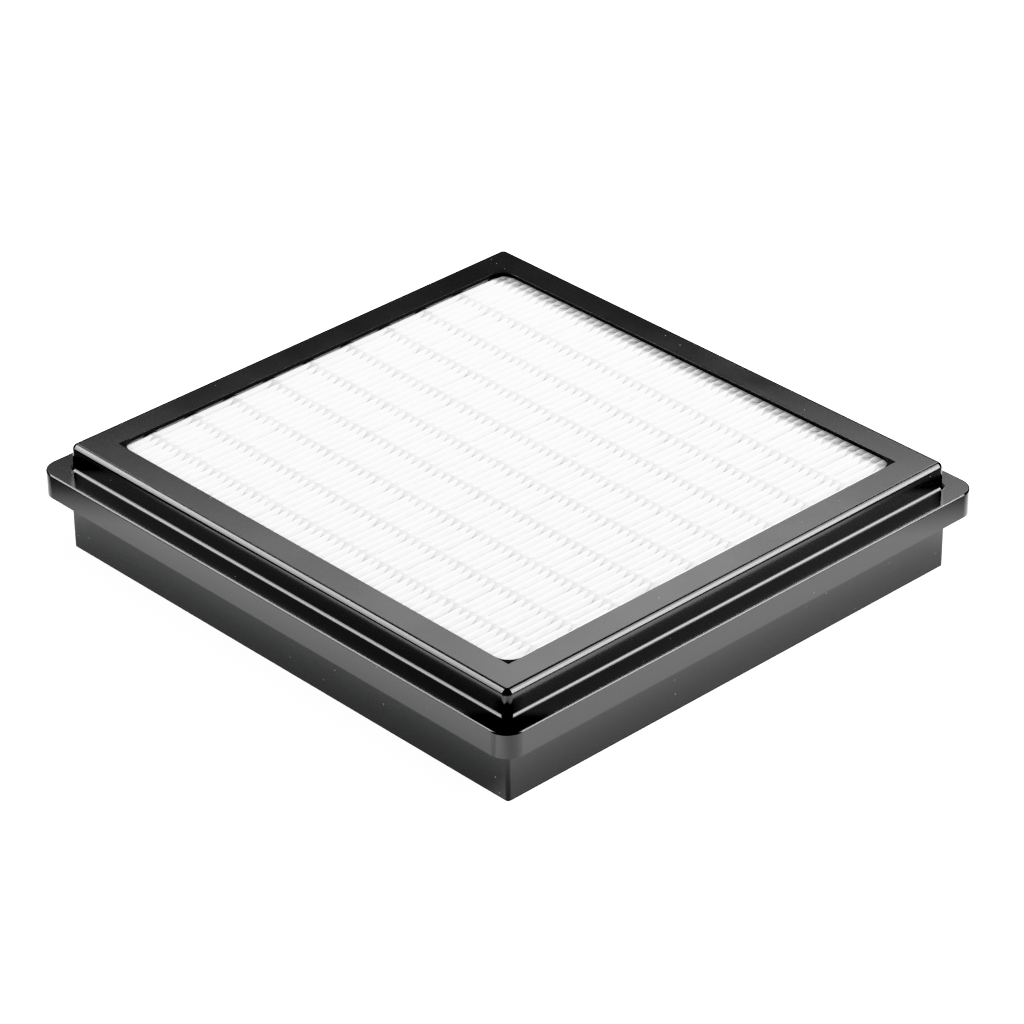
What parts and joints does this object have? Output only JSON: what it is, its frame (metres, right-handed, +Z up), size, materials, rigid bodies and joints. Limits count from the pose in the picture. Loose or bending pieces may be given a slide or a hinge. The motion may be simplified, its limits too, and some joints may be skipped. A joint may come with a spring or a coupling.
{
  "type": "hepa filter",
  "caption": "Rectangular panel filter cassette: a glossy black moulded frame with a raised collar and a sealing flange round a white pleated pack held by glue threads.",
  "frame": {"origin": "middle of the footprint, on the plane that the cassette stands on", "axes": "+Z up out of the window, +X along the longer side, across the folds, +Y along the folds"},
  "size_m": [0.2296, 0.2162, 0.04],
  "materials": {
    "frame": "glossy black injection-moulded plastic",
    "media": "matt white pleated filter fleece",
    "glue": "whitish hot-melt glue",
    "sealant": "off-white potting compound"
  },
  "bodies": {
    "root": {"frame": "frame", "pleated_media": "media", "upper_bead_1": "glue", "upper_bead_2": "glue", "upper_bead_3": "glue", "upper_bead_4": "glue", "upper_bead_5": "glue", "upper_bead_6": "glue", "upper_bead_7": "glue", "upper_bead_8": "glue", "upper_bead_9": "glue", "upper_bead_10": "glue", "lower_bead_1": "glue", "lower_bead_2": "glue", "lower_bead_3": "glue", "lower_bead_4": "glue", "lower_bead_5": "glue", "lower_bead_6": "glue", "lower_bead_7": "glue", "lower_bead_8": "glue", "lower_bead_9": "glue", "lower_bead_10": "glue", "potting": "sealant"}
  },
  "joints": []
}
